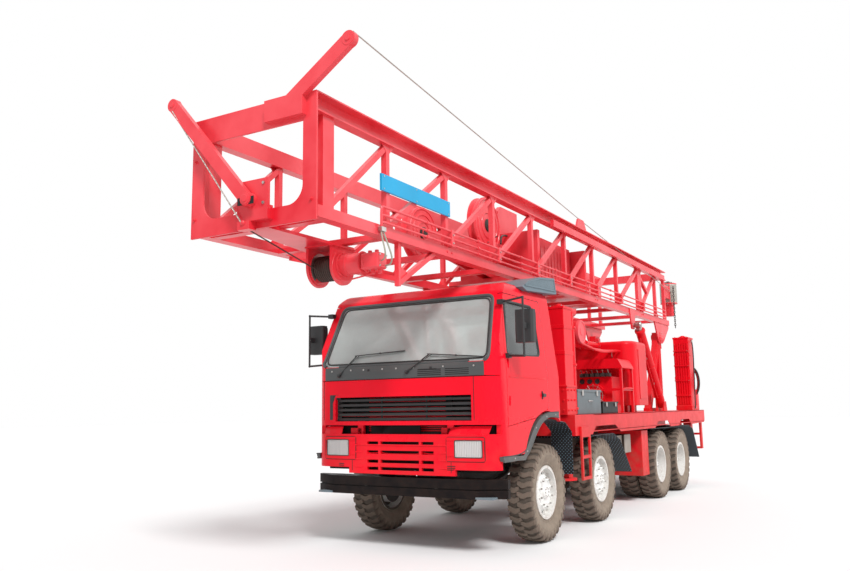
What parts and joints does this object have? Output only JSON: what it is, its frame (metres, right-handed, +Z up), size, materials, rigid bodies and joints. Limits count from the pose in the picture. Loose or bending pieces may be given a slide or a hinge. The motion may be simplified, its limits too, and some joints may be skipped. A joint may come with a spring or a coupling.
{
  "type": "truck-mounted drilling rig",
  "caption": "Heavy four-axle truck with a forward cab, a flat deck of drilling machinery, levelling jacks and a box lattice mast that lies over the cab and swings upright behind.",
  "frame": {"origin": "on the ground under the middle of the rig's footprint, mast stowed", "axes": "+X forwards along the truck, +Y to its left, +Z up"},
  "size_m": [12.53, 3.025, 4.7299],
  "materials": {
    "black_paint": "satin",
    "cast": "oily",
    "glass": "clear",
    "grey_paint": "satin",
    "grey_trim": "textured",
    "lamp": "clear over reflectors",
    "red_paint": "gloss enamel",
    "steel": "oiled",
    "trim": "textured",
    "tyre": "dusty",
    "wheel_silver": "satin, dusty"
  },
  "bodies": {
    "chassis": {"chassis_frame": "black_paint", "running_gear": "cast", "engine_block": "cast", "front_bumper": "black_paint", "cab_shell": "red_paint", "cab_front_panels": "red_paint", "cab_glass": "glass", "cab_interior": "grey_trim", "front_grilles": "trim", "headlamps": "lamp", "roof_hood": "grey_trim", "mudguards": "trim", "deck": "red_paint", "ladders": "red_paint", "stowage_boxes": "grey_paint", "deck_machinery": "red_paint", "power_house": "red_paint", "mast_cradle": "red_paint", "mast_support": "red_paint", "jack_housings": "red_paint"},
    "cab_door_left": {"door_left": "red_paint", "door_glass_left": "glass", "mirror_left": "trim"},
    "cab_door_right": {"door_right": "red_paint", "door_glass_right": "glass", "mirror_right": "trim"},
    "wheel_set_1_left": {"tyre_1_left": "tyre", "wheel_1_left": "wheel_silver"},
    "steer_1_left": {"knuckle_1_left": "cast"},
    "wheel_set_1_right": {"tyre_1_right": "tyre", "wheel_1_right": "wheel_silver"},
    "steer_1_right": {"knuckle_1_right": "cast"},
    "wheel_set_2_left": {"tyre_2_left": "tyre", "wheel_2_left": "wheel_silver"},
    "steer_2_left": {"knuckle_2_left": "cast"},
    "wheel_set_2_right": {"tyre_2_right": "tyre", "wheel_2_right": "wheel_silver"},
    "steer_2_right": {"knuckle_2_right": "cast"},
    "wheel_set_3_left": {"tyre_3_left": "tyre", "wheel_3_left": "wheel_silver"},
    "wheel_set_3_right": {"tyre_3_right": "tyre", "wheel_3_right": "wheel_silver"},
    "wheel_set_4_left": {"tyre_4_left": "tyre", "wheel_4_left": "wheel_silver"},
    "wheel_set_4_right": {"tyre_4_right": "tyre", "wheel_4_right": "wheel_silver"},
    "mast": {"mast_sides": "red_paint", "mast_crosses": "red_paint", "mast_crown": "red_paint", "winch_frame": "red_paint", "jib_arms": "red_paint", "mast_fittings": "red_paint"},
    "front_winch": {"winch_drum": "steel"},
    "top_drive": {"rotary_head": "red_paint"},
    "cylinder_barrels": {"raise_barrels": "red_paint"},
    "cylinder_rods": {"raise_rods": "steel"},
    "jack_front_left": {"jack_leg_front_left": "red_paint"},
    "jack_front_right": {"jack_leg_front_right": "red_paint"},
    "jack_rear_left": {"jack_leg_rear_left": "red_paint"},
    "jack_rear_right": {"jack_leg_rear_right": "red_paint"}
  },
  "joints": [
    {"name": "door_left_hinge", "type": "hinge", "parent": "chassis", "child": "cab_door_left", "pos_m": [3.452, 1.235, 2], "axis": [0, 0, -1], "range_deg": [0, 70]},
    {"name": "door_right_hinge", "type": "hinge", "parent": "chassis", "child": "cab_door_right", "pos_m": [3.452, -1.235, 2], "axis": [0, 0, 1], "range_deg": [0, 70]},
    {"name": "steering_1_left", "type": "hinge", "parent": "chassis", "child": "steer_1_left", "pos_m": [2.36, 0.862, 0.562], "axis": [0, 0, 1], "range_deg": [-35, 35]},
    {"name": "wheel_1_left_spin", "type": "hinge", "parent": "steer_1_left", "child": "wheel_set_1_left", "pos_m": [2.36, 1.072, 0.562], "axis": [0, 1, 0], "continuous": true},
    {"name": "steering_1_right", "type": "hinge", "parent": "chassis", "child": "steer_1_right", "pos_m": [2.36, -0.862, 0.562], "axis": [0, 0, 1], "range_deg": [-35, 35]},
    {"name": "wheel_1_right_spin", "type": "hinge", "parent": "steer_1_right", "child": "wheel_set_1_right", "pos_m": [2.36, -1.072, 0.562], "axis": [0, 1, 0], "continuous": true},
    {"name": "steering_2_left", "type": "hinge", "parent": "chassis", "child": "steer_2_left", "pos_m": [0.409, 0.862, 0.562], "axis": [0, 0, 1], "range_deg": [-22.75, 22.75]},
    {"name": "wheel_2_left_spin", "type": "hinge", "parent": "steer_2_left", "child": "wheel_set_2_left", "pos_m": [0.409, 1.072, 0.562], "axis": [0, 1, 0], "continuous": true},
    {"name": "steering_2_right", "type": "hinge", "parent": "chassis", "child": "steer_2_right", "pos_m": [0.409, -0.862, 0.562], "axis": [0, 0, 1], "range_deg": [-22.75, 22.75]},
    {"name": "wheel_2_right_spin", "type": "hinge", "parent": "steer_2_right", "child": "wheel_set_2_right", "pos_m": [0.409, -1.072, 0.562], "axis": [0, 1, 0], "continuous": true},
    {"name": "wheel_3_left_spin", "type": "hinge", "parent": "chassis", "child": "wheel_set_3_left", "pos_m": [-2.713, 1.072, 0.562], "axis": [0, 1, 0], "continuous": true},
    {"name": "wheel_3_right_spin", "type": "hinge", "parent": "chassis", "child": "wheel_set_3_right", "pos_m": [-2.713, -1.072, 0.562], "axis": [0, 1, 0], "continuous": true},
    {"name": "wheel_4_left_spin", "type": "hinge", "parent": "chassis", "child": "wheel_set_4_left", "pos_m": [-4.089, 1.072, 0.562], "axis": [0, 1, 0], "continuous": true},
    {"name": "wheel_4_right_spin", "type": "hinge", "parent": "chassis", "child": "wheel_set_4_right", "pos_m": [-4.089, -1.072, 0.562], "axis": [0, 1, 0], "continuous": true},
    {"name": "mast_raise", "type": "hinge", "parent": "chassis", "child": "mast", "pos_m": [-4.94, 0, 2.9], "axis": [0, -1, 0], "range_deg": [0, 90]},
    {"name": "winch_spin", "type": "hinge", "parent": "mast", "child": "front_winch", "pos_m": [5.015, 0, 2.955], "axis": [0, 1, 0], "continuous": true},
    {"name": "top_drive_feed", "type": "slide", "parent": "mast", "child": "top_drive", "axis": [1, 0, 0], "range_m": [-2.9, 2.4]},
    {"name": "cylinder_tilt", "type": "hinge", "parent": "chassis", "child": "cylinder_barrels", "pos_m": [-4.23, 0, 1.56], "axis": [0, -1, 0], "range_deg": [0, 55.2]},
    {"name": "cylinder_extend", "type": "slide", "parent": "cylinder_barrels", "child": "cylinder_rods", "axis": [0.6666, 0, 0.7454], "range_m": [0, 1.5077]},
    {"name": "jack_front_left_extend", "type": "slide", "parent": "chassis", "child": "jack_front_left", "axis": [0, 0, -1], "range_m": [0, 0.7]},
    {"name": "jack_front_right_extend", "type": "slide", "parent": "chassis", "child": "jack_front_right", "axis": [0, 0, -1], "range_m": [0, 0.7]},
    {"name": "jack_rear_left_extend", "type": "slide", "parent": "chassis", "child": "jack_rear_left", "axis": [0, 0, -1], "range_m": [0, 0.7]},
    {"name": "jack_rear_right_extend", "type": "slide", "parent": "chassis", "child": "jack_rear_right", "axis": [0, 0, -1], "range_m": [0, 0.7]}
  ],
  "couplings": [
    {"joint": "steering_1_right", "follows": "steering_1_left", "ratio": 1},
    {"joint": "steering_2_left", "follows": "steering_1_left", "ratio": 0.65},
    {"joint": "steering_2_right", "follows": "steering_1_left", "ratio": 0.65},
    {"joint": "cylinder_tilt", "follows": "mast_raise", "ratio": 0.61326},
    {"joint": "cylinder_extend", "follows": "mast_raise", "m_per_rad": 0.95978}
  ]
}
